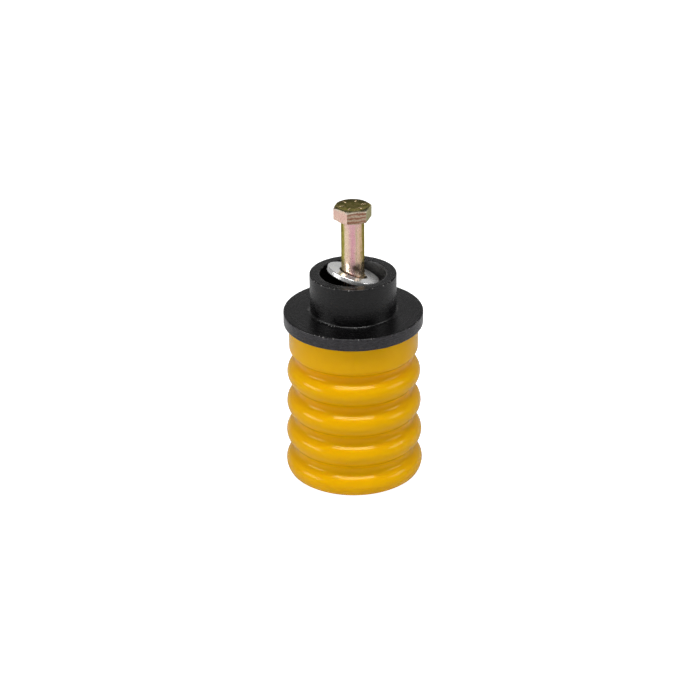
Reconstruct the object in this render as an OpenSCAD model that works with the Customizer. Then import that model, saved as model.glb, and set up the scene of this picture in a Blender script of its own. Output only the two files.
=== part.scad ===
// Ribbed elastomer buffer with a flanged collar, a loose washer and a hexagon-head bolt.
// Millimetres, +Z up along the bolt, origin at the centre of the buffer's foot.

/* [Buffer] */
// Height of the buffer, foot to top face
buffer_h = 86; // [70:1:110]
// Diameter of the plain band at the top
band_d = 68.6; // [60:0.2:72]
// Diameter of the lowest rib
rib_d = 74; // [66:0.5:80]
// How much smaller in diameter each rib is than the one below
rib_step_d = 0.96; // [0:0.02:1.5]
// Number of ribs
rib_count = 4; // [2:1:5]
// Height of the lowest rib's centre
rib_first_z = 4.6; // [3:0.1:6]
// Distance between ribs
rib_pitch = 17.65; // [15.5:0.05:18]
// Radius of a rib's round section
rib_round = 6.65; // [5:0.05:7.5]
// Radius of the round valley between two ribs
valley_round = 4.1; // [3:0.1:5]
// Radius of the round edge under the band
band_round = 3.15; // [1:0.05:4]
// Height of that round edge's centre above the top rib's centre
band_rise = 15.1; // [14:0.05:16]
// Diameter of the hole up the middle, open at the foot
bore_d = 20; // [16:0.5:24]

/* [Collar] */
// Diameter of the flange
flange_d = 73.5; // [70:0.5:80]
// Thickness of the flange
flange_t = 6.75; // [4:0.25:10]
// Outside diameter of the hub
hub_d = 45.4; // [42:0.2:50]
// Height of the hub above the flange
hub_h = 21; // [15:0.5:24]
// Diameter of the recess in the hub
recess_d = 34.8; // [32:0.2:38]
// Diameter of the clearance hole through the recess floor
floor_hole_d = 13.5; // [13:0.1:15]
// Radius of the broken edges on the collar
collar_edge = 0.5; // [0.2:0.05:1]

/* [Insert] */
// Length of the threaded insert
insert_h = 20; // [16:0.5:24]
// Diameter of the insert's barrel
insert_d = 24; // [20:0.5:26]
// Diameter of the insert's anchor plate
plate_d = 40; // [30:1:44]
// Thickness of the anchor plate
plate_t = 3; // [2:0.25:4]

/* [Bolt] */
// Nominal diameter of the bolt
bolt_d = 12; // [12:0.1:12.7]
// Thread pitch
bolt_pitch = 1.75; // [1.25:0.05:2]
// Length of the bolt under its head
bolt_l = 70; // [66:1:74]
// Length of the threaded end
thread_l = 30; // [26:1:34]
// Width of the head across its flats
head_af = 17.6; // [17.5:0.05:19.05]
// Height of the head
head_h = 7.6; // [7:0.1:8]
// Height of the head's underside above the top of the hub
head_lift = 30.05; // [26:0.05:34]
// Turn of the head about its axis, in degrees
head_turn = 13.5; // [0:0.5:60]

/* [Washer] */
// Outside diameter of the washer
washer_d = 28; // [26:0.5:30]
// Diameter of the washer's hole
washer_hole_d = 15; // [14.4:0.1:16]
// Thickness of the washer
washer_t = 2.5; // [2:0.1:2.8]
// Height of the washer's centre over the top of the hub
washer_lift = -1.2; // [-2:0.05:2]
// Slant of the washer on the shank, in degrees
washer_tilt = 19; // [10:0.5:21]
// Direction that the washer's upper face leans towards, in degrees from +X
washer_lean = 19; // [0:1:90]

/* [Hidden] */
$fn = 96;

over = 1;              // how far a cutting shape runs past the face it cuts
lap = 0.1;             // how far two joined shapes run into each other
foot_edge = 0.6;       // broken edge round the foot
moulded_gap = 0.1;     // gap between the buffer and the insert moulded into it
thread_gap = 0.05;     // radial running clearance of the bolt in the insert
mouth_chamfer = 1.5;   // lead-in at the bore's mouth
hub_fillet = 0.8;      // fillet at the hub's foot
recess_fillet = 1.5;   // fillet round the recess floor
insert_groove = 1.2;   // radius of the two grip grooves round the barrel
insert_chamfer = 1;    // lead-in at the top of the insert's thread
washer_edge = 0.35;    // broken edge of the washer
head_face_h = 0.6;     // washer face under the head
head_face_d = 16.6;    // diameter of that face
shank_fillet = 0.8;    // fillet between head and shank
tip_chamfer = 1.2;     // chamfer at the threaded end
depth_share = 0.6134;  // depth of a metric thread over its pitch
crest_share = 0.03;    // half width of a thread's crest over its pitch
root_share = 0.07;     // half width of a thread's root over its pitch
dome_share = 0.475;    // radius of the head's flat top over its width across flats

buffer_top = buffer_h;
flange_top = buffer_top + flange_t;
hub_top = flange_top + hub_h;
insert_z = buffer_top - insert_h;
head_z = hub_top + head_lift;
head_top = head_z + head_h;
tip_z = head_z - bolt_l;
thread_top = tip_z + thread_l;
thread_depth = depth_share * bolt_pitch;
thread_turns = floor((thread_l - tip_chamfer) / bolt_pitch);
head_corner_d = head_af / cos(30);
washer_z = hub_top + washer_lift;

// Centre and radius of each round of the buffer's outline, foot to band: [r, z, radius].
ribs = [for (i = [0 : rib_count - 1])
    [(rib_d - i * rib_step_d) / 2 - rib_round, rib_first_z + i * rib_pitch, rib_round]];
band_z = rib_first_z + (rib_count - 1) * rib_pitch + band_rise;
rounds = concat(ribs, [[band_d / 2 - band_round, band_z, band_round]]);

// Centre of the circle of radius q that touches the rounds a and b on their outer side.
function valley_centre(a, b, q) =
    let (gap = [b[0] - a[0], b[1] - a[1]], d = norm(gap),
         ra = a[2] + q, rb = b[2] + q,
         along = (ra * ra - rb * rb + d * d) / (2 * d),
         out = sqrt(ra * ra - along * along))
    [a[0] + (gap[0] * along + gap[1] * out) / d, a[1] + (gap[1] * along - gap[0] * out) / d];

// A rectangle of the half section, from radius r0 to r1 and height z0 to z1.
module section(r0, r1, z0, z1) {
    translate([r0, z0]) square([r1 - r0, z1 - z0]);
}

// What lies outside a quarter round of radius q at an outer corner; side and top are +1 or -1.
module corner_waste(r, z, q, side, top) {
    difference() {
        translate([r - side * q / 2 + side * over / 2, z - top * q / 2 + top * over / 2])
            square(q + over, center = true);
        translate([r - side * q, z - top * q]) circle(q);
        translate([r - side * q, z - top * q]) mirror([side > 0 ? 1 : 0, 0])
            translate([0, -q - over]) square([q + over, 2 * (q + over)]);
        translate([r - side * q, z - top * q]) mirror([0, top > 0 ? 1 : 0])
            translate([-q - over, 0]) square([2 * (q + over), q + over]);
    }
}

// What fills an inner corner with a fillet of radius q; side and top point out of the corner.
module corner_fill(r, z, q, side, top) {
    difference() {
        translate([r + side * q / 2, z + top * q / 2]) square(q, center = true);
        translate([r + side * q, z + top * q]) circle(q);
    }
}

// Half section of the buffer's outside, filled to the axis.
module buffer_outline() {
    up = [for (r = rounds) [r[0], r[1]]];
    core = concat([[0, 0], [ribs[0][0], 0]], up, [[rounds[rib_count][0], buffer_top], [0, buffer_top]]);
    intersection() {
        difference() {
            union() {
                polygon(core);
                for (r = rounds) translate([r[0], r[1]]) circle(r[2]);
                for (i = [0 : rib_count - 1]) polygon([
                    [rounds[i][0], rounds[i][1]],
                    valley_centre(rounds[i], rounds[i + 1], valley_round),
                    [rounds[i + 1][0], rounds[i + 1][1]]]);
                section(0, band_d / 2, band_z, buffer_top);
            }
            for (i = [0 : rib_count - 1])
                translate(valley_centre(rounds[i], rounds[i + 1], valley_round)) circle(valley_round);
        }
        section(0, rib_d, 0, buffer_top);
    }
}

// Half section of the insert; grow adds to it all round, for the buffer's pocket.
module insert_section(grow) {
    difference() {
        union() {
            section(0, insert_d / 2 + grow, insert_z - grow, buffer_top);
            section(0, plate_d / 2 + grow, insert_z - grow, insert_z + plate_t + grow);
        }
        for (k = [1, 2])
            translate([insert_d / 2 + insert_groove / 2, insert_z + plate_t + k * (insert_h - plate_t) / 3])
                circle(insert_groove - grow);
    }
}

// Radius of the lowest rib's outline at height z under its centre.
function foot_radius(z) = ribs[0][0] + sqrt(pow(rib_round, 2) - pow(rib_first_z - z, 2));

module ribbed_body() {
    bore_r = bore_d / 2;
    foot_r = foot_radius(0) - foot_edge;
    edge_r = foot_radius(foot_edge);
    color("orange") rotate_extrude() difference() {
        buffer_outline();
        section(-over, bore_r, -over, buffer_top + over);
        insert_section(moulded_gap);
        translate([bore_r, 0])
            polygon([[-over, -over], [mouth_chamfer + over, -over], [-over, mouth_chamfer + over]]);
        polygon([[foot_r, 0], [edge_r + over, -over], [edge_r + over, foot_edge], [edge_r, foot_edge]]);
    }
}

module flanged_collar() {
    hub_r = hub_d / 2;
    recess_r = recess_d / 2;
    flange_r = flange_d / 2;
    color("dimgray") rotate_extrude() difference() {
        union() {
            section(floor_hole_d / 2, flange_r, buffer_top, flange_top);
            section(recess_r, hub_r, flange_top - over, hub_top);
            corner_fill(hub_r, flange_top, hub_fillet, 1, 1);
            corner_fill(recess_r, flange_top, recess_fillet, -1, 1);
        }
        corner_waste(flange_r, flange_top, collar_edge, 1, 1);
        corner_waste(flange_r, buffer_top, collar_edge, 1, -1);
        corner_waste(hub_r, hub_top, collar_edge, 1, 1);
        corner_waste(recess_r, hub_top, collar_edge, -1, 1);
    }
}

module thread_insert() {
    bore_r = bolt_d / 2 + thread_gap;
    color("silver") rotate_extrude() difference() {
        insert_section(0);
        section(-over, bore_r, insert_z - over, buffer_top + over);
        translate([bore_r, buffer_top])
            polygon([[-over, over], [insert_chamfer + over, over], [-over, -insert_chamfer - over]]);
    }
}

module plain_washer() {
    outer_r = washer_d / 2;
    inner_r = washer_hole_d / 2;
    color("gainsboro") translate([0, 0, washer_z]) rotate([0, 0, washer_lean]) rotate([0, washer_tilt, 0])
        rotate_extrude() difference() {
            section(inner_r, outer_r, -washer_t / 2, washer_t / 2);
            for (side = [-1, 1]) {
                corner_waste(outer_r, side * washer_t / 2, washer_edge, 1, side);
                corner_waste(inner_r, side * washer_t / 2, washer_edge, -1, side);
            }
        }
}

// Half section of the shank, with its thread cut as rings one pitch apart.
module shank_section() {
    shank_r = bolt_d / 2;
    root_r = shank_r - thread_depth;
    root_half = root_share * bolt_pitch;
    mouth_half = (0.5 - crest_share) * bolt_pitch;
    difference() {
        union() {
            section(0, shank_r, tip_z, head_z + lap);
            corner_fill(shank_r, head_z, shank_fillet, 1, -1);
        }
        for (k = [0 : thread_turns - 1]) translate([0, thread_top - (k + 0.5) * bolt_pitch])
            polygon([[shank_r + lap, -mouth_half], [root_r, -root_half],
                     [root_r, root_half], [shank_r + lap, mouth_half]]);
        translate([shank_r, tip_z + tip_chamfer])
            polygon([[-tip_chamfer, -tip_chamfer], [over, -tip_chamfer - over], [over, over]]);
    }
}

module hex_bolt() {
    dome_r = head_af * dome_share;
    outer_r = head_corner_d / 2 + over;
    chamfer_z = head_top - (outer_r - dome_r) * tan(30);
    color("tan") union() {
        rotate_extrude() shank_section();
        translate([0, 0, head_z]) cylinder(h = head_face_h + lap, d = head_face_d);
        intersection() {
            translate([0, 0, head_z + head_face_h]) rotate([0, 0, head_turn])
                cylinder(h = head_h - head_face_h, d = head_corner_d, $fn = 6);
            rotate_extrude()
                polygon([[0, head_z], [outer_r, head_z], [outer_r, chamfer_z], [dome_r, head_top], [0, head_top]]);
        }
    }
}

ribbed_body();
flanged_collar();
thread_insert();
plain_washer();
hex_bolt();
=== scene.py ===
"""Looks of the ribbed buffer with its bolt-on collar: lathed skins, a threaded bolt, procedural materials."""

import math

import bmesh
import bpy
from mathutils import Matrix, Vector, noise

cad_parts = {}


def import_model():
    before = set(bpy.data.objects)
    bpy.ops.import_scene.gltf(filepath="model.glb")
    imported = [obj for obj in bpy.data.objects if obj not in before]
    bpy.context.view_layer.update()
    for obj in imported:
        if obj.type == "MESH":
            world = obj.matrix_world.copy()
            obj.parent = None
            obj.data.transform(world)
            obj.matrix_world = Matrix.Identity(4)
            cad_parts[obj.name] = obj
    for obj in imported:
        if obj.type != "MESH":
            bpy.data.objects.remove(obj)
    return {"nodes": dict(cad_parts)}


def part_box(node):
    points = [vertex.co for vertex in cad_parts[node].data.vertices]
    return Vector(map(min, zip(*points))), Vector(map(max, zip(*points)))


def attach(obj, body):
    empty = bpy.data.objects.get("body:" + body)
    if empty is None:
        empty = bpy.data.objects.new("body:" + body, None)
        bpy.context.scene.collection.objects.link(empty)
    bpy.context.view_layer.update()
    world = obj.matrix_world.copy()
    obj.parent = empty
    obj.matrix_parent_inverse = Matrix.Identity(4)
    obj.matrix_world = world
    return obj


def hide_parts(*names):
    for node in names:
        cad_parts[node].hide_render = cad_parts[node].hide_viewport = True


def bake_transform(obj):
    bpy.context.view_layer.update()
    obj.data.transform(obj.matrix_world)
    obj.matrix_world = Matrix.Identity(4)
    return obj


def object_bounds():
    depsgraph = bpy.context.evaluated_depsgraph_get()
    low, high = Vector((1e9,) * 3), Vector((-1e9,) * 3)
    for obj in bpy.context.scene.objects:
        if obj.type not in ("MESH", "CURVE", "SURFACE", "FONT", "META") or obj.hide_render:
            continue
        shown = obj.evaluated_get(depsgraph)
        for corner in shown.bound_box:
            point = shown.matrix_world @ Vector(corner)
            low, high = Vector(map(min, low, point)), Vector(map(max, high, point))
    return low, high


MM = 0.001

# Driving dimensions in millimetres, the same as the CAD's. Heights that a node's box gives are read from it.
RIB_D, RIB_STEP_D, RIB_COUNT = 74.0, 0.96, 4
RIB_FIRST_Z, RIB_PITCH, RIB_ROUND = 4.6, 17.65, 6.65
BAND_D, BAND_ROUND, BAND_RISE = 68.6, 3.15, 15.1
VALLEY_ROUND = 4.1
BORE_D, MOUTH_CHAMFER, FOOT_EDGE = 20.0, 1.5, 0.6
INSERT_D, PLATE_D, PLATE_T, INSERT_H, MOULDED_GAP = 24.0, 40.0, 3.0, 20.0, 0.1
FLANGE_T, HUB_D, RECESS_D, FLOOR_HOLE_D = 6.75, 45.4, 34.8, 13.5
COLLAR_EDGE, HUB_FILLET, RECESS_FILLET = 0.5, 0.8, 1.5
BOLT_D, PITCH, THREAD_L, SHANK_FILLET, TIP_CHAMFER = 12.0, 1.75, 30.0, 0.8, 1.2
HEAD_AF, HEAD_H, HEAD_FACE_H, HEAD_FACE_D, HEAD_TURN = 17.6, 7.6, 0.6, 16.6, 13.5
WASHER_D, WASHER_HOLE_D, WASHER_T, WASHER_EDGE = 28.0, 15.0, 2.5, 0.35
WASHER_TILT, WASHER_LEAN = 19.0, 19.0

# Shares of the thread's pitch: its depth, its flat at the root, and the run of each flank.
THREAD_DEPTH, THREAD_ROOT, THREAD_FLANK = 0.6134, 0.07, 0.37


# ---------------------------------------------------------------- mesh helpers

def arc(r, z, q, start, stop, steps):
    """Points (r, z) of an arc of radius q about (r, z), angles in degrees."""
    angles = [math.radians(start + (stop - start) * k / steps) for k in range(steps + 1)]
    return [(r + q * math.cos(a), z + q * math.sin(a)) for a in angles]


def line(a, b, steps):
    """Points from a up to, but not including, b."""
    return [(a[0] + (b[0] - a[0]) * k / steps, a[1] + (b[1] - a[1]) * k / steps) for k in range(steps)]


def object_from(name, verts, faces, sharp_deg=35):
    """A mesh object in metres from points in millimetres, smooth except across sharp edges."""
    mesh = bpy.data.meshes.new(name)
    mesh.from_pydata([Vector(v) * MM for v in verts], [], faces)
    bm = bmesh.new()
    bm.from_mesh(mesh)
    bmesh.ops.recalc_face_normals(bm, faces=bm.faces)
    for edge in bm.edges:
        if len(edge.link_faces) == 2 and edge.calc_face_angle(0) > math.radians(sharp_deg):
            edge.smooth = False
    for face in bm.faces:
        face.smooth = True
    bm.to_mesh(mesh)
    bm.free()
    piece = bpy.data.objects.new(name, mesh)
    bpy.context.scene.collection.objects.link(piece)
    return piece


def spun(loop, segments, shape=None):
    """Vertices and quads of a closed (r, z) loop turned about Z. shape(r, z, angle) may move a point."""
    verts = []
    for s in range(segments):
        angle = 2 * math.pi * s / segments
        for r, z in loop:
            rr, zz = shape(r, z, angle) if shape else (r, z)
            verts.append((rr * math.cos(angle), rr * math.sin(angle), zz))
    n = len(loop)
    faces = []
    for s in range(segments):
        a, b = s * n, ((s + 1) % segments) * n
        faces += [(a + k, b + k, b + (k + 1) % n, a + (k + 1) % n) for k in range(n)]
    return verts, faces


def wander(angle, z, scale, seed):
    """Smooth noise, about -1 to 1, that closes round the axis."""
    return noise.noise(Vector((math.cos(angle) * scale, math.sin(angle) * scale, z * 0.05 + seed)))


# ---------------------------------------------------------------- the pieces

def valley_centre(a, b, q):
    """Centre of the circle of radius q that touches the rounds a and b, each (r, z, radius), outside them."""
    gap_r, gap_z = b[0] - a[0], b[1] - a[1]
    d = math.hypot(gap_r, gap_z)
    ra, rb = a[2] + q, b[2] + q
    along = (ra * ra - rb * rb + d * d) / (2 * d)
    out = math.sqrt(ra * ra - along * along)
    return a[0] + (gap_r * along + gap_z * out) / d, a[1] + (gap_z * along - gap_r * out) / d


def bearing(a, b):
    """Direction from a to b, in degrees."""
    return math.degrees(math.atan2(b[1] - a[1], b[0] - a[0]))


def buffer_loop(top):
    """Half section of the buffer, from the bore's mouth round the ribs and back down the insert's pocket."""
    foot_lip_r, foot_lip_z, band_foot = 0.15, 0.12, 0.6
    rounds = [((RIB_D - i * RIB_STEP_D) / 2 - RIB_ROUND, RIB_FIRST_Z + i * RIB_PITCH, RIB_ROUND)
              for i in range(RIB_COUNT)]
    rounds.append((BAND_D / 2 - BAND_ROUND, rounds[-1][1] + BAND_RISE, BAND_ROUND))
    foot_r = rounds[0][0] + math.sqrt(RIB_ROUND ** 2 - RIB_FIRST_Z ** 2)
    loop = line((BORE_D / 2 + MOUTH_CHAMFER, 0), (foot_r - FOOT_EDGE, 0), 14)
    loop += [(foot_r - FOOT_EDGE, 0), (foot_r - foot_lip_r, foot_lip_z)]
    start = math.degrees(math.asin((FOOT_EDGE - RIB_FIRST_Z) / RIB_ROUND))
    for low, high in zip(rounds, rounds[1:]):
        valley = valley_centre(low, high, VALLEY_ROUND)
        loop += arc(*low, start, bearing(low, valley), 22)
        inner_start, inner_stop = bearing(valley, low) % 360, bearing(valley, high) % 360
        loop += arc(*valley, VALLEY_ROUND, inner_start, inner_stop, 14)[1:-1]
        start = bearing(high, valley)
    loop += arc(*rounds[-1], start, 0, 10)
    loop += line((BAND_D / 2, rounds[-1][1] + band_foot), (BAND_D / 2, top), 10)
    pocket_r, plate_r = INSERT_D / 2 + MOULDED_GAP, PLATE_D / 2 + MOULDED_GAP
    step_z, pocket_z = top - INSERT_H + PLATE_T + MOULDED_GAP, top - INSERT_H - MOULDED_GAP
    loop += line((BAND_D / 2, top), (pocket_r, top), 12)
    loop += line((pocket_r, top), (pocket_r, step_z), 8)
    loop += line((pocket_r, step_z), (plate_r, step_z), 3)
    loop += line((plate_r, step_z), (plate_r, pocket_z), 2)
    loop += line((plate_r, pocket_z), (BORE_D / 2, pocket_z), 4)
    loop += line((BORE_D / 2, pocket_z), (BORE_D / 2, MOUTH_CHAMFER), 40)
    loop += [(BORE_D / 2, MOUTH_CHAMFER)]
    return loop


def make_buffer():
    """The elastomer buffer: a lathed skin, never quite true, with a faint mould seam at front and back."""
    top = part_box("ribbed_body")[1].z / MM
    seam_half, seam_sink = 0.012, 0.05
    waver, waver_scale, waver_seed = 0.12, 0.8, 3.0
    true_r, true_z = BORE_D / 2 + MOUTH_CHAMFER + 2, top - 0.01

    def shape(r, z, angle):
        if r < true_r or z > true_z or z < FOOT_EDGE:
            return r, z
        sink = waver * (0.5 + 0.5 * wander(angle, z, waver_scale, waver_seed))
        off_seam = min(abs(math.cos(angle)) / seam_half, 1.0)
        return r - sink - seam_sink * off_seam, z

    piece = object_from("buffer_skin", *spun(buffer_loop(top), 288, shape), sharp_deg=50)
    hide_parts("ribbed_body")
    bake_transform(piece)
    return piece


def collar_loop(bottom, top):
    """Half section of the collar, counter-clockwise from the hole through its floor."""
    flange_top = bottom + FLANGE_T
    e, run_in, rim_run_in = COLLAR_EDGE, 0.5, 0.4
    flange_r, hub_r, recess_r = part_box("flanged_collar")[1].x / MM, HUB_D / 2, RECESS_D / 2
    hole_r = FLOOR_HOLE_D / 2
    loop = line((hole_r, bottom), (flange_r - e, bottom), 16)
    loop += arc(flange_r - e, bottom + e, e, -90, 0, 5)
    loop += line((flange_r, bottom + e + run_in), (flange_r, flange_top - e), 6)
    loop += arc(flange_r - e, flange_top - e, e, 0, 90, 5)
    loop += line((flange_r - e - run_in, flange_top), (hub_r + HUB_FILLET, flange_top), 14)
    loop += arc(hub_r + HUB_FILLET, flange_top + HUB_FILLET, HUB_FILLET, -90, -180, 6)
    loop += line((hub_r, flange_top + HUB_FILLET + run_in), (hub_r, top - e), 20)
    loop += arc(hub_r - e, top - e, e, 0, 90, 5)
    loop += line((hub_r - e - rim_run_in, top), (recess_r + e, top), 6)
    loop += arc(recess_r + e, top - e, e, 90, 180, 5)
    loop += line((recess_r, top - e - run_in), (recess_r, flange_top + RECESS_FILLET), 20)
    loop += arc(recess_r - RECESS_FILLET, flange_top + RECESS_FILLET, RECESS_FILLET, 0, -90, 6)
    loop += line((recess_r - RECESS_FILLET - run_in, flange_top), (hole_r, flange_top), 8)
    loop += line((hole_r, flange_top), (hole_r, bottom), 6)
    return loop


def make_collar():
    """The black collar: turned all over, its edges nicked here and there."""
    low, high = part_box("flanged_collar")
    bottom, top = low.z / MM, high.z / MM
    flange_top = bottom + FLANGE_T
    flange_r, hub_r, recess_r = high.x / MM, HUB_D / 2, RECESS_D / 2
    edges = [(flange_r, flange_top, 1), (flange_r, bottom, 1), (hub_r, top, 1), (recess_r, top, -1)]
    reach, depth, drop = 1.1, 0.14, 0.6
    nick_scale, nick_seed_step, nick_least, nick_gain = 26.0, 7.0, 0.22, 2.2

    def shape(r, z, angle):
        for k, (edge_r, edge_z, side) in enumerate(edges):
            near = 1 - math.hypot(r - edge_r, z - edge_z) / reach
            if near > 0:
                dent = max(0.0, wander(angle, z, nick_scale, nick_seed_step * k) - nick_least) * nick_gain
                bite = depth * near * min(dent, 1.0)
                r -= side * bite
                z += -bite * drop if edge_z > bottom else 0.0
        return r, z

    piece = object_from("collar_shell", *spun(collar_loop(bottom, top), 512, shape), sharp_deg=60)
    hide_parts("flanged_collar")
    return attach(piece, "collar")


def make_washer():
    """The flat washer: punched, so one side's edge is rolled more than the other's."""
    low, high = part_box("plain_washer")
    centre = (low + high) / 2
    r1, r0, h, e = WASHER_D / 2, WASHER_HOLE_D / 2, WASHER_T / 2, WASHER_EDGE
    roll, run_in, face_run_in = 1.5 * e, 0.1, 0.3
    loop = line((r0 + e, -h), (r1 - e, -h), 8) + arc(r1 - e, -h + e, e, -90, 0, 5)
    loop += line((r1, -h + e + run_in), (r1, h - roll), 4) + arc(r1 - roll, h - roll, roll, 0, 90, 7)
    loop += line((r1 - roll - face_run_in, h), (r0 + roll, h), 8) + arc(r0 + roll, h - roll, roll, 90, 180, 7)
    loop += line((r0, h - roll - run_in), (r0, -h + e), 4) + arc(r0 + e, -h + e, e, 180, 270, 5)[:-1]
    piece = object_from("washer_plate", *spun(loop, 256), sharp_deg=50)
    lean = Matrix.Rotation(math.radians(WASHER_LEAN), 4, "Z")
    tilt = Matrix.Rotation(math.radians(WASHER_TILT), 4, "Y")
    piece.data.transform(Matrix.Translation(centre) @ lean @ tilt)
    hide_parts("plain_washer")
    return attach(piece, "washer")


def hex_radius(angle):
    """Distance from the axis to the head's side at an angle in radians, its corners slightly rounded."""
    apothem, corner_round = HEAD_AF / 2, 0.6
    sector = math.radians(60)
    corner = (angle - math.radians(HEAD_TURN)) % sector
    off_corner = min(corner, sector - corner)
    off_flat = sector / 2 - off_corner
    inner = (apothem - corner_round) / math.cos(sector / 2)
    tangent = math.atan2((apothem - corner_round) * math.tan(sector / 2), apothem)
    if off_flat < tangent:
        return apothem / math.cos(off_flat)
    return inner * math.cos(off_corner) + math.sqrt(corner_round ** 2 - (inner * math.sin(off_corner)) ** 2)


def head_rows(bottom, top):
    """The head's rows from its washer face up; each gives (radius, height) at an angle in radians."""
    chamfer_r = HEAD_AF * 0.475
    slope = math.tan(math.radians(30))
    under_edge, top_edge = 0.18, 0.12
    rim, rim_foot, dish = 0.35, 0.75, 0.15
    return [
        lambda a: (HEAD_FACE_D / 2, bottom),
        lambda a: (HEAD_FACE_D / 2, bottom + HEAD_FACE_H),
        lambda a: (hex_radius(a) - under_edge, bottom + HEAD_FACE_H),
        lambda a: (hex_radius(a), bottom + HEAD_FACE_H + under_edge),
        lambda a: (hex_radius(a), 0.5 * (bottom + top)),
        lambda a: (hex_radius(a), top - (hex_radius(a) - chamfer_r) * slope - top_edge),
        lambda a: (hex_radius(a) - top_edge, top - (hex_radius(a) - top_edge - chamfer_r) * slope),
        lambda a: (0.5 * (hex_radius(a) + chamfer_r), top - 0.5 * (hex_radius(a) - chamfer_r) * slope),
        lambda a: (chamfer_r, top),
        lambda a: (chamfer_r - rim, top),
        lambda a: (chamfer_r - rim_foot, top - dish),
        lambda a: (chamfer_r * 0.5, top - dish),
    ]


def thread_radius(angle, z, thread_top, tip):
    """Radius of the threaded end: a 60 degree vee on a right-hand helix that fades out at its top."""
    crest = BOLT_D / 2
    depth = THREAD_DEPTH * PITCH
    phase = ((z - angle / (2 * math.pi) * PITCH) / PITCH) % 1.0
    vee = max(0.0, min(1.0, (abs(phase - 0.5) - THREAD_ROOT) / THREAD_FLANK))
    fade = min(1.0, max(0.0, (thread_top - z) / PITCH))
    r = crest - depth * (1 - vee) * fade
    return min(r, crest - TIP_CHAMFER + max(0.0, z - tip))


def make_bolt():
    """The hexagon-head bolt in one mesh: helical thread, shank, fillet, washer face and chamfered head."""
    low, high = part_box("hex_bolt")
    tip, top = low.z / MM, high.z / MM
    bottom = top - HEAD_H
    thread_top = tip + THREAD_L
    segments, per_pitch, shank_rows = 144, 14, 23
    shank_r = BOLT_D / 2
    centre_share = 0.45
    rows = [lambda a: (shank_r * centre_share, tip)]
    thread_rows = int(THREAD_L / PITCH * per_pitch)
    for k in range(thread_rows + 1):
        z = tip + THREAD_L * k / thread_rows
        rows.append(lambda a, z=z: (thread_radius(a, z, thread_top, tip), z))
    for k in range(1, shank_rows + 1):
        z = thread_top + (bottom - SHANK_FILLET - thread_top) * k / shank_rows
        rows.append(lambda a, z=z: (shank_r, z))
    for r, z in arc(shank_r + SHANK_FILLET, bottom - SHANK_FILLET, SHANK_FILLET, 180, 90, 6)[1:]:
        rows.append(lambda a, r=r, z=z: (r, z))
    rows += head_rows(bottom, top)
    verts = []
    for row in rows:
        for s in range(segments):
            angle = 2 * math.pi * s / segments + math.radians(HEAD_TURN)
            r, z = row(angle)
            verts.append((r * math.cos(angle), r * math.sin(angle), z))
    faces = []
    for k in range(len(rows) - 1):
        a, b = k * segments, (k + 1) * segments
        faces += [(a + s, a + (s + 1) % segments, b + (s + 1) % segments, b + s) for s in range(segments)]
    faces.append(tuple(reversed(range(segments))))
    faces.append(tuple((len(rows) - 1) * segments + s for s in range(segments)))
    piece = object_from("bolt_forging", verts, faces, sharp_deg=24)
    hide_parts("hex_bolt")
    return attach(piece, "bolt")


def make_head_marks():
    """Six plain raised ticks round the top of the head, the usual generic strength marks, in one mesh."""
    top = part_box("hex_bolt")[1].z / MM
    inner_r, outer_r, half_w, foot, crown = 4.4, 7.2, 0.48, top - 0.25, top
    edge, crown_inset = 0.05, 0.14
    verts, faces = [], []
    for k in range(6):
        turn = Matrix.Rotation(math.radians(HEAD_TURN + 60 * k), 3, "Z")
        base = len(verts)
        for z, inset in ((foot, 0.0), (crown - edge, edge), (crown, crown_inset)):
            ring = [(inner_r + inset, -half_w + inset), (outer_r - inset, -half_w + inset),
                    (outer_r - inset, half_w - inset), (inner_r + inset, half_w - inset)]
            verts += [turn @ Vector((x, y, z)) for x, y in ring]
        for layer in (0, 4):
            faces += [(base + layer + i, base + layer + (i + 1) % 4, base + layer + 4 + (i + 1) % 4,
                       base + layer + 4 + i) for i in range(4)]
        faces += [(base + 8, base + 9, base + 10, base + 11), (base + 3, base + 2, base + 1, base)]
    piece = object_from("head_marks", verts, faces, sharp_deg=60)
    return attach(piece, "bolt")


# ---------------------------------------------------------------- materials

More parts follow.
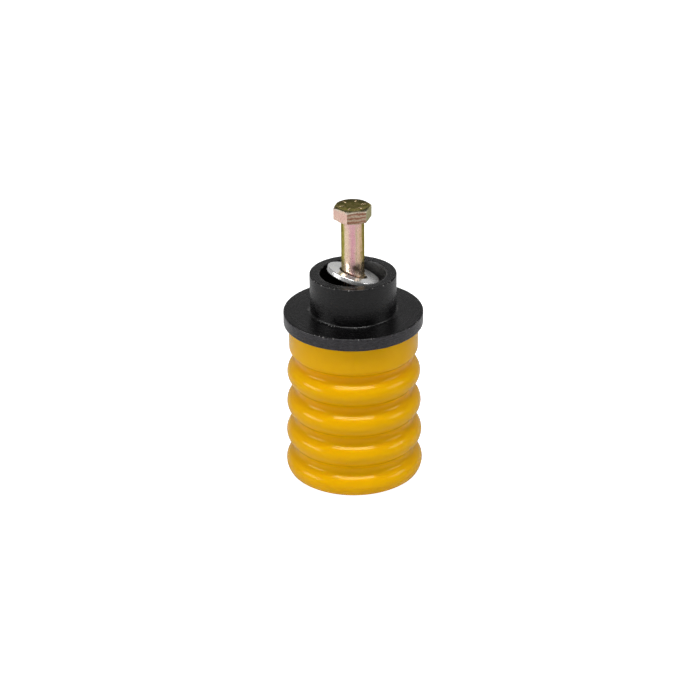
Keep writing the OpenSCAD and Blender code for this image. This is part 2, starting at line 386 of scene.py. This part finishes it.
class Graph:
    """A short way to write a material's nodes."""

    def __init__(self, name):
        self.material = bpy.data.materials.new(name)
        self.material.use_nodes = True
        self.tree = self.material.node_tree
        self.shader = self.tree.nodes["Principled BSDF"]
        self.coords = self.tree.nodes.new("ShaderNodeTexCoord").outputs["Object"]

    def node(self, kind, **inputs):
        made = self.tree.nodes.new(kind)
        for key, value in inputs.items():
            self.feed(made.inputs[int(key[1:]) if key[0] == "i" and key[1:].isdigit() else key], value)
        return made

    def feed(self, socket, value):
        if hasattr(value, "is_output"):
            self.tree.links.new(value, socket)
        else:
            socket.default_value = value

    def math(self, operation, a, b=0.0, c=0.0):
        made = self.node("ShaderNodeMath", i0=a, i1=b, i2=c)
        made.operation = operation
        return made.outputs[0]

    def times(self, product, *factors):
        for factor in factors:
            product = self.math("MULTIPLY", product, factor)
        return product

    def axes(self):
        """The height z, the radius r from the axis, and the unit direction (x/r, y/r)."""
        parts = self.node("ShaderNodeSeparateXYZ", i0=self.coords).outputs
        x, y, z = parts[0], parts[1], parts[2]
        r = self.math("SQRT", self.math("ADD", self.times(x, x), self.times(y, y)))
        safe = self.math("MAXIMUM", r, 1e-5)
        return z, r, self.math("DIVIDE", x, safe), self.math("DIVIDE", y, safe)

    def vector(self, x, y, z):
        return self.node("ShaderNodeCombineXYZ", i0=x, i1=y, i2=z).outputs[0]

    def noise(self, where, scale, detail=3.0, roughness=0.5):
        made = self.node("ShaderNodeTexNoise")
        for key, value in (("Vector", where), ("Scale", scale), ("Detail", detail), ("Roughness", roughness)):
            self.feed(made.inputs[key], value)
        return made.outputs["Fac"]

    def ramp(self, fac, stops):
        """A colour ramp; stops are (position, (r, g, b))."""
        made = self.node("ShaderNodeValToRGB", i0=fac)
        ramp = made.color_ramp
        while len(ramp.elements) < len(stops):
            ramp.elements.new(0.5)
        for element, (position, colour) in zip(ramp.elements, stops):
            element.position = position
            element.color = (*colour, 1.0)
        return made.outputs["Color"]

    def mix(self, fac, a, b):
        """Colour a where fac is 0 and colour b where it is 1."""
        made = self.tree.nodes.new("ShaderNodeMix")
        made.data_type = "RGBA"
        self.feed(made.inputs[0], fac)
        for socket, value in ((made.inputs[6], a), (made.inputs[7], b)):
            self.feed(socket, (*value, 1.0) if isinstance(value, tuple) else value)
        return made.outputs[2]

    def span(self, value, low, high, out_low=0.0, out_high=1.0):
        """value mapped from low..high to out_low..out_high, held at the ends."""
        made = self.node("ShaderNodeMapRange", i0=value, i1=low, i2=high, i3=out_low, i4=out_high)
        return made.outputs[0]

    def past(self, value, place, start, stop):
        """0 to 1 as value goes from place + start to place + stop, held at the ends."""
        return self.span(value, place + start, place + stop)

    def bump(self, height, strength, distance, normal=None):
        made = self.node("ShaderNodeBump", Strength=strength, Distance=distance, Height=height)
        if normal is not None:
            self.feed(made.inputs["Normal"], normal)
        return made.outputs["Normal"]

    def finish(self, **sockets):
        for key, value in sockets.items():
            socket = self.shader.inputs[key.replace("_", " ")]
            self.feed(socket, (*value, 1.0) if isinstance(value, tuple) and len(value) == 3
                      and socket.type == "RGBA" else value)
        return self.material


def elastomer_material(valley_r):
    """Cast polyurethane: amber yellow, slightly translucent, with a soft wet gloss, fine dusty pits, and
    painted shade that deepens the colour in the valleys.
    """
    g = Graph("cast_urethane")
    cloud = g.noise(g.coords, 22.0, 2.0)
    mottle = g.noise(g.coords, 260.0, 3.0)
    _, r, _, _ = g.axes()
    # proud runs from 0 in the valleys to 1 on the ribs. The valleys get a deeper, darker orange: painted
    # shade in the creases between the ribs.
    proud = g.past(r, valley_r, -0.0004, 0.0016)
    base = g.mix(g.span(cloud, 0.35, 0.65), (0.725, 0.380, 0.0003), (0.765, 0.408, 0.0004))
    base = g.mix(proud, (0.765, 0.335, 0.0003), base)
    base = g.mix(g.span(mottle, 0.3, 0.7, 0.0, 0.18), base, (0.690, 0.305, 0.0004))
    specks = g.noise(g.coords, 1500.0, 1.0)
    base = g.mix(g.span(specks, 0.72, 0.80, 0.0, 0.35), base, (0.34, 0.16, 0.01))
    roughness = g.span(g.noise(g.coords, 70.0, 4.0), 0.3, 0.7, 0.12, 0.18)
    soft = g.bump(g.noise(g.coords, 110.0, 2.0), 0.16, 0.0005)
    fine = g.bump(g.noise(g.coords, 1300.0, 2.0), 0.10, 0.0001, soft)
    return g.finish(Base_Color=base, Roughness=roughness, Normal=fine, IOR=1.48, Specular_IOR_Level=0.21,
                    Specular_Tint=(1.0, 0.98, 0.55),
                    Subsurface_Weight=0.15, Subsurface_Radius=(1.0, 0.42, 0.05), Subsurface_Scale=0.004)


def turned_coords(g, around, across, up):
    """Coordinates that run slowly round the axis and fast across it, for lathe marks and streaks."""
    z, r, ux, uy = g.axes()
    lift = g.math("ADD", g.times(r, across), g.times(z, up))
    return g.vector(g.times(ux, around), g.times(uy, around), lift)


def collar_material(top_z, flange_top_z, flange_r, hub_r, recess_r):
    """Black turned plastic: tool marks round the axis, rubbed streaks on the rim, pale nicks on the edges, a
    painted highlight along the hub's foot and painted light from the washer on the recess's right-hand wall.
    """
    g = Graph("turned_black")
    z, r, ux, _ = g.axes()
    tool_marks = g.noise(turned_coords(g, 1.5, 2600.0, 2600.0), 1.0, 4.0, 0.65)
    scuffs = g.noise(turned_coords(g, 9.0, 700.0, 900.0), 1.0, 5.0, 0.7)
    grain = g.noise(g.coords, 1150.0, 4.0, 0.65)
    tint = g.mix(g.span(tool_marks, 0.3, 0.75), (0.0008, 0.0007, 0.0008), (0.0024, 0.0023, 0.0025))
    tint = g.mix(g.span(scuffs, 0.52, 0.72, 0.0, 0.35), tint, (0.016, 0.0155, 0.0165))
    specks = g.noise(g.coords, 1500.0, 2.0, 0.7)
    tint = g.mix(g.span(specks, 0.63, 0.73, 0.0, 0.9), tint, (0.050, 0.048, 0.050))
    on_rim = g.times(g.past(r, flange_r, -0.0006, -0.0002), g.past(z, flange_top_z, 0.0, -0.0004))
    streaks = g.noise(turned_coords(g, 16.0, 0.0, 2600.0), 1.0, 4.0, 0.7)
    tint = g.mix(g.times(on_rim, g.span(streaks, 0.35, 0.65)), tint, (0.040, 0.037, 0.043))
    nick = g.span(g.noise(turned_coords(g, 38.0, 0.0, 500.0), 1.0, 3.0, 0.6), 0.60, 0.68)
    edges = 0.0
    # The fourth ring sits on the fillet at the hub's foot. The pale broken line there is a painted highlight.
    # On the other three rings the pale marks are nicks.
    fillet_glint_r = hub_r + 0.0007
    nick_and_glint_rings = ((flange_r, flange_top_z), (hub_r, top_z), (recess_r, top_z), (fillet_glint_r, flange_top_z))
    for edge_r, edge_z in nick_and_glint_rings:
        gap_r = g.math("SUBTRACT", r, edge_r)
        gap_z = g.math("SUBTRACT", z, edge_z)
        gap = g.math("SQRT", g.math("ADD", g.times(gap_r, gap_r), g.times(gap_z, gap_z)))
        edges = g.math("MAXIMUM", g.span(gap, 0.0009, 0.0003), edges)
    # Pale nicks on the flange's edge and both rims, and a painted highlight along the hub's foot.
    tint = g.mix(g.times(edges, nick, 0.8), tint, (0.30, 0.29, 0.28))
    # The recess's inner wall turns grey towards its right-hand side. This is painted light: the washer's
    # reflection thrown onto the wall.
    in_recess = g.times(g.past(r, recess_r, 0.0004, 0.0001), g.past(z, flange_top_z, 0.0005, 0.0030))
    painted_washer_light = g.times(in_recess, g.span(ux, 0.05, 0.75))
    tint = g.mix(painted_washer_light, tint, g.mix(g.span(scuffs, 0.35, 0.65), (0.080, 0.080, 0.080), (0.140, 0.140, 0.138)))
    roughness = g.span(g.math("ADD", tool_marks, g.times(scuffs, 0.6)), 0.5, 1.1, 0.17, 0.33)
    marks = g.bump(tool_marks, 0.45, 0.00016)
    scuffed = g.bump(scuffs, 0.40, 0.00018, marks)
    grained = g.bump(grain, 0.40, 0.00020, scuffed)
    return g.finish(Base_Color=tint, Roughness=roughness, Normal=grained, IOR=1.5,
                    Specular_IOR_Level=0.41)


def washer_material():
    """Bright zinc plate on punched steel: near mirror, with faint brushing and a few handling marks."""
    g = Graph("bright_zinc")
    cloud = g.noise(g.coords, 180.0, 3.0)
    brush = g.node("ShaderNodeMapping", i0=g.coords, Scale=(220.0, 3200.0, 220.0)).outputs[0]
    lines = g.noise(brush, 1.0, 3.0)
    tint = g.mix(g.span(cloud, 0.3, 0.7), (0.76, 0.76, 0.75), (0.86, 0.86, 0.86))
    roughness = g.span(g.math("ADD", lines, cloud), 0.7, 1.3, 0.18, 0.28)
    normal = g.bump(lines, 0.12, 0.00004, g.bump(cloud, 0.10, 0.0002))
    return g.finish(Base_Color=tint, Metallic=0.8, Roughness=roughness, Normal=normal)


def bolt_material(head_z, head_top_z, thread_top_z):
    """Yellow chromate on zinc: an oil-film shift from olive through peach to pink, running down the shank,
    with painted shade down its sides and a painted reflection of the washer low down; the head's faces carry
    painted light and shade and the ticks' tops a painted highlight.
    """
    g = Graph("yellow_chromate")
    z, r, ux, uy = g.axes()
    streak = g.noise(turned_coords(g, 7.0, 0.0, 40.0), 1.0, 3.0, 0.6)
    blot = g.noise(g.coords, 420.0, 3.0, 0.6)
    wander_both = g.math("ADD", streak, g.times(blot, 0.4))
    drift = g.times(g.math("SUBTRACT", wander_both, 0.7), 0.30)
    across = g.math("ADD", g.math("MULTIPLY_ADD", ux, 0.5, 0.5), drift)
    olive, gold = (0.46, 0.42, 0.10), (0.62, 0.55, 0.16)
    peach, pink = (1.00, 0.74, 0.56), (0.92, 0.46, 0.54)
    # Across the shank from its left side (0) to its right (1): the chromate's olive, gold, peach and pink.
    # The dark ends are painted shade down both sides.
    shank = g.ramp(across, [(0.0, (0.28, 0.25, 0.04)), (0.06, olive), (0.11, gold),
                            (0.17, (1.0, 0.78, 0.56)), (0.30, peach), (0.40, (0.95, 0.58, 0.55)),
                            (0.50, pink), (0.58, (0.94, 0.58, 0.54)), (0.66, (0.66, 0.55, 0.32)),
                            (0.72, (0.98, 0.68, 0.52)), (0.82, (0.84, 0.58, 0.36)),
                            (0.90, (0.40, 0.33, 0.08)), (1.0, (0.24, 0.20, 0.04))])
    under_head = g.past(z, head_z, -0.0060, -0.0005)
    flush = g.times(under_head, g.span(g.math("ABSOLUTE", ux), 0.85, 0.55))
    shank = g.mix(g.times(flush, 0.75), shank, (0.92, 0.56, 0.58))
    # Paler towards the foot of the shank: a painted reflection of the bright washer below.
    washer_reflection = g.past(z, thread_top_z, 0.0200, 0.0130)
    shank = g.mix(g.times(washer_reflection, 0.5), shank, (1.0, 0.80, 0.68))
    grime_top, grime_foot = g.past(z, thread_top_z, 0.0172, 0.0155), g.past(z, thread_top_z, 0.0118, 0.0138)
    off_patch = g.math("ABSOLUTE", g.math("SUBTRACT", ux, 0.25))
    grime = g.times(grime_top, g.span(blot, 0.34, 0.50), grime_foot, g.span(off_patch, 0.45, 0.15))
    shank = g.mix(g.times(grime, 0.85), shank, (0.10, 0.07, 0.04))

    waver = g.noise(turned_coords(g, 2.5, 0.0, 300.0), 1.0, 3.0, 0.6)
    stripe_pitch = 0.0022
    phase = g.math("MULTIPLY_ADD", waver, 9.0, g.times(z, 2 * math.pi / stripe_pitch))
    band = g.math("MULTIPLY_ADD", g.math("SINE", phase), 0.5, 0.5)
    mottle = g.noise(g.coords, 260.0, 3.0, 0.6)
    pale_side = g.mix(g.span(mottle, 0.35, 0.65), (1.00, 0.74, 0.60), (0.96, 0.62, 0.54))
    striped_side = g.ramp(band, [(0.0, (0.34, 0.15, 0.09)), (0.4, (0.42, 0.23, 0.15)),
                                 (0.7, (0.66, 0.44, 0.33)), (1.0, (0.60, 0.50, 0.36))])
    striped_side = g.mix(g.span(mottle, 0.40, 0.70, 0.0, 0.6), striped_side, (0.50, 0.34, 0.24))
    green_side = g.mix(g.span(mottle, 0.35, 0.65), (0.48, 0.50, 0.38), (0.66, 0.66, 0.52))
    # Each face of the head gets its own tone: pale on the left and at the back, darker and striped at the
    # front, green-grey on the right. The pink, green and peach hues are the chromate's own. How light or dark
    # each face is, is painted light and shade.
    angle = g.math("ARCTAN2", uy, ux)
    head, corner, soften = pale_side, math.radians(HEAD_TURN - 120), 0.02
    for colour in (striped_side, green_side, pale_side):
        head = g.mix(g.span(angle, corner - soften, corner + soften), head, colour)
        corner += math.radians(60)
    worn = g.times(g.past(z, head_top_z, -0.0019, -0.0010), g.span(mottle, 0.35, 0.60))
    head = g.mix(g.times(worn, 0.8), head, (0.88, 0.84, 0.70))
    crown_blot = g.noise(g.coords, 330.0, 3.0, 0.65)
    crown = g.ramp(crown_blot, [(0.30, (0.16, 0.16, 0.07)), (0.50, (0.30, 0.28, 0.13)),
                                (0.66, (0.44, 0.34, 0.20)), (0.80, (0.62, 0.50, 0.32))])
    # The ticks' tops are painted pale: a painted highlight.
    raised = g.past(z, head_top_z, -0.00012, -0.00004)
    crown = g.mix(g.times(raised, g.span(r, 0.0080, 0.0076)), crown, (1.0, 0.78, 0.54))
    tint = g.mix(g.past(z, head_z, -0.0002, 0.0002), shank, head)
    tint = g.mix(g.past(z, head_top_z, -0.0007, -0.0004), tint, crown)
    tint = g.mix(g.past(z, thread_top_z, 0.0005, -0.0005), tint, (0.60, 0.52, 0.26))
    roughness = g.span(g.math("ADD", blot, streak), 0.7, 1.3, 0.18, 0.34)
    forged = g.bump(g.noise(g.coords, 300.0, 3.0), 0.18, 0.0002)
    grained = g.bump(blot, 0.14, 0.00006, forged)
    return g.finish(Base_Color=tint, Metallic=1.0, Roughness=roughness, Normal=grained,
                    Specular_Tint=(0.80, 0.72, 0.42))


def insert_material():
    """Plain turned steel with a little oil staining."""
    g = Graph("turned_steel")
    marks = g.noise(turned_coords(g, 1.0, 2400.0, 2400.0), 1.0, 3.0, 0.6)
    stain = g.noise(g.coords, 160.0, 4.0)
    tint = g.mix(g.span(stain, 0.35, 0.7), (0.52, 0.51, 0.49), (0.36, 0.34, 0.30))
    roughness = g.span(marks, 0.3, 0.7, 0.28, 0.42)
    return g.finish(Base_Color=tint, Metallic=1.0, Roughness=roughness, Normal=g.bump(marks, 0.3, 0.00006))


def floor_material():
    """Matt white paper, a little uneven, which glows to the eye so that it looks evenly white."""
    g = Graph("white_paper")
    tint = g.mix(g.noise(g.coords, 6.0, 2.0), (0.64, 0.64, 0.64), (0.68, 0.68, 0.68))
    glow = g.times(g.tree.nodes.new("ShaderNodeLightPath").outputs["Is Camera Ray"], PAPER_GLOW)
    return g.finish(Base_Color=tint, Roughness=0.9, Specular_IOR_Level=0.0, Emission_Color=(1.0, 1.0, 1.0),
                    Emission_Strength=glow, Normal=g.bump(g.noise(g.coords, 900.0, 2.0), 0.05, 0.0002))


# ---------------------------------------------------------------- studio and camera

# Brightness of the room all round, and of the backdrop low down behind the object.
ROOM, BACKDROP = 0.15, 0.60

# How much the paper glows to the eye.
PAPER_GLOW = 0.90


def softbox(name, place, target, width, height, power, shines=True):
    """A rectangular lamp; one that doesn't shine lights matt surfaces without showing in gloss."""
    lamp = bpy.data.lights.new(name, "AREA")
    lamp.shape = "RECTANGLE"
    lamp.size, lamp.size_y = width, height
    lamp.energy = power
    holder = bpy.data.objects.new(name, lamp)
    holder.location = place
    holder.rotation_euler = (Vector(target) - Vector(place)).to_track_quat("-Z", "Y").to_euler()
    holder.visible_glossy = shines
    bpy.context.scene.collection.objects.link(holder)


def make_studio(middle):
    """A white floor under four softboxes, in a dim room that is paler low down behind the object."""
    def around(azimuth, elevation, distance):
        a, e = math.radians(azimuth - 90), math.radians(elevation)
        return middle + distance * Vector((math.cos(e) * math.cos(a), math.cos(e) * math.sin(a), math.sin(e)))

    softbox("overhead_box", around(0, 72, 0.95), middle, 0.80, 0.22, 6.9)
    softbox("left_box", around(-74, 16, 0.90), middle, 0.56, 0.26, 3.1)
    softbox("right_box", around(78, 24, 0.90), middle, 0.46, 0.26, 1.9)
    softbox("front_fill", around(0, 6, 1.50), middle, 1.20, 0.60, 4.8, shines=False)

    world = bpy.data.worlds.new("pale_room")
    world.use_nodes = True
    tree = world.node_tree
    coords = tree.nodes.new("ShaderNodeTexCoord")
    split = tree.nodes.new("ShaderNodeSeparateXYZ")
    tree.links.new(coords.outputs["Generated"], split.inputs[0])

    def mapped(value, low, high, out_low, out_high):
        made = tree.nodes.new("ShaderNodeMapRange")
        tree.links.new(value, made.inputs[0])
        for socket, number in zip(list(made.inputs)[1:5], (low, high, out_low, out_high)):
            socket.default_value = number
        return made.outputs[0]

    side_y, back_y, low_z, high_z = 0.5, 0.95, 0.20, 0.42
    behind = mapped(split.outputs[1], side_y, back_y, 0, 1)
    near_floor = mapped(split.outputs[2], low_z, high_z, 1, 0)
    both = tree.nodes.new("ShaderNodeMath")
    both.operation = "MULTIPLY"
    tree.links.new(behind, both.inputs[0])
    tree.links.new(near_floor, both.inputs[1])
    background = tree.nodes["Background"]
    tree.links.new(mapped(both.outputs[0], 0, 1, ROOM, BACKDROP), background.inputs["Strength"])
    background.inputs["Color"].default_value = (1, 1, 1, 1)
    bpy.context.scene.world = world

    half = 3.0
    mesh = bpy.data.meshes.new("floor")
    corners = [(-half, -half, 0), (half, -half, 0), (half, half, 0), (-half, half, 0)]
    mesh.from_pydata(corners, [], [(0, 1, 2, 3)])
    floor = bpy.data.objects.new("floor", mesh)
    floor.data.materials.append(floor_material())
    bpy.context.scene.collection.objects.link(floor)


def make_camera():
    """The photograph's view: from the front, 26 degrees up and 0.93 m away, through a 90 mm lens."""
    lens_mm, distance, elevation, roll = 90.14, 0.930, 26.44, -0.51
    aim = Vector((-0.0019, 0, 0.0688))
    e = math.radians(elevation)
    data = bpy.data.cameras.new("camera")
    data.lens, data.sensor_width = lens_mm, 36.0
    data.clip_start, data.clip_end = 0.05, 20.0
    camera = bpy.data.objects.new("camera", data)
    place = aim + distance * Vector((0, -math.cos(e), math.sin(e)))
    turn = Matrix.Rotation(math.pi / 2 - e, 4, "X") @ Matrix.Rotation(math.radians(roll), 4, "Z")
    camera.matrix_world = Matrix.Translation(place) @ turn
    bpy.context.scene.collection.objects.link(camera)
    bpy.context.scene.camera = camera


def plain_corners(corners):
    return [[float(v) for v in corner] for corner in corners]


def put_on(piece, material):
    piece.data.materials.clear()
    piece.data.materials.append(material)


def main():
    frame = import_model()
    cad_box = plain_corners(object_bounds())
    bpy.context.scene.view_settings.view_transform = "Standard"

    collar_low, collar_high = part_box("flanged_collar")
    bolt_low, bolt_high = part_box("hex_bolt")
    head_z = bolt_high.z - HEAD_H * MM
    chromate = bolt_material(head_z, bolt_high.z, bolt_low.z + THREAD_L * MM)

    valley_depth = 3.6
    put_on(make_buffer(), elastomer_material((BAND_D / 2 - valley_depth) * MM))
    black = collar_material(collar_high.z, collar_low.z + FLANGE_T * MM, collar_high.x,
                            HUB_D / 2 * MM, RECESS_D / 2 * MM)
    put_on(make_collar(), black)
    put_on(make_washer(), washer_material())
    put_on(make_bolt(), chromate)
    put_on(make_head_marks(), chromate)
    put_on(frame["nodes"]["thread_insert"], insert_material())

    low, high = cad_box
    make_studio(Vector((0, 0, 0.5 * (low[2] + high[2]))))
    make_camera()


main()
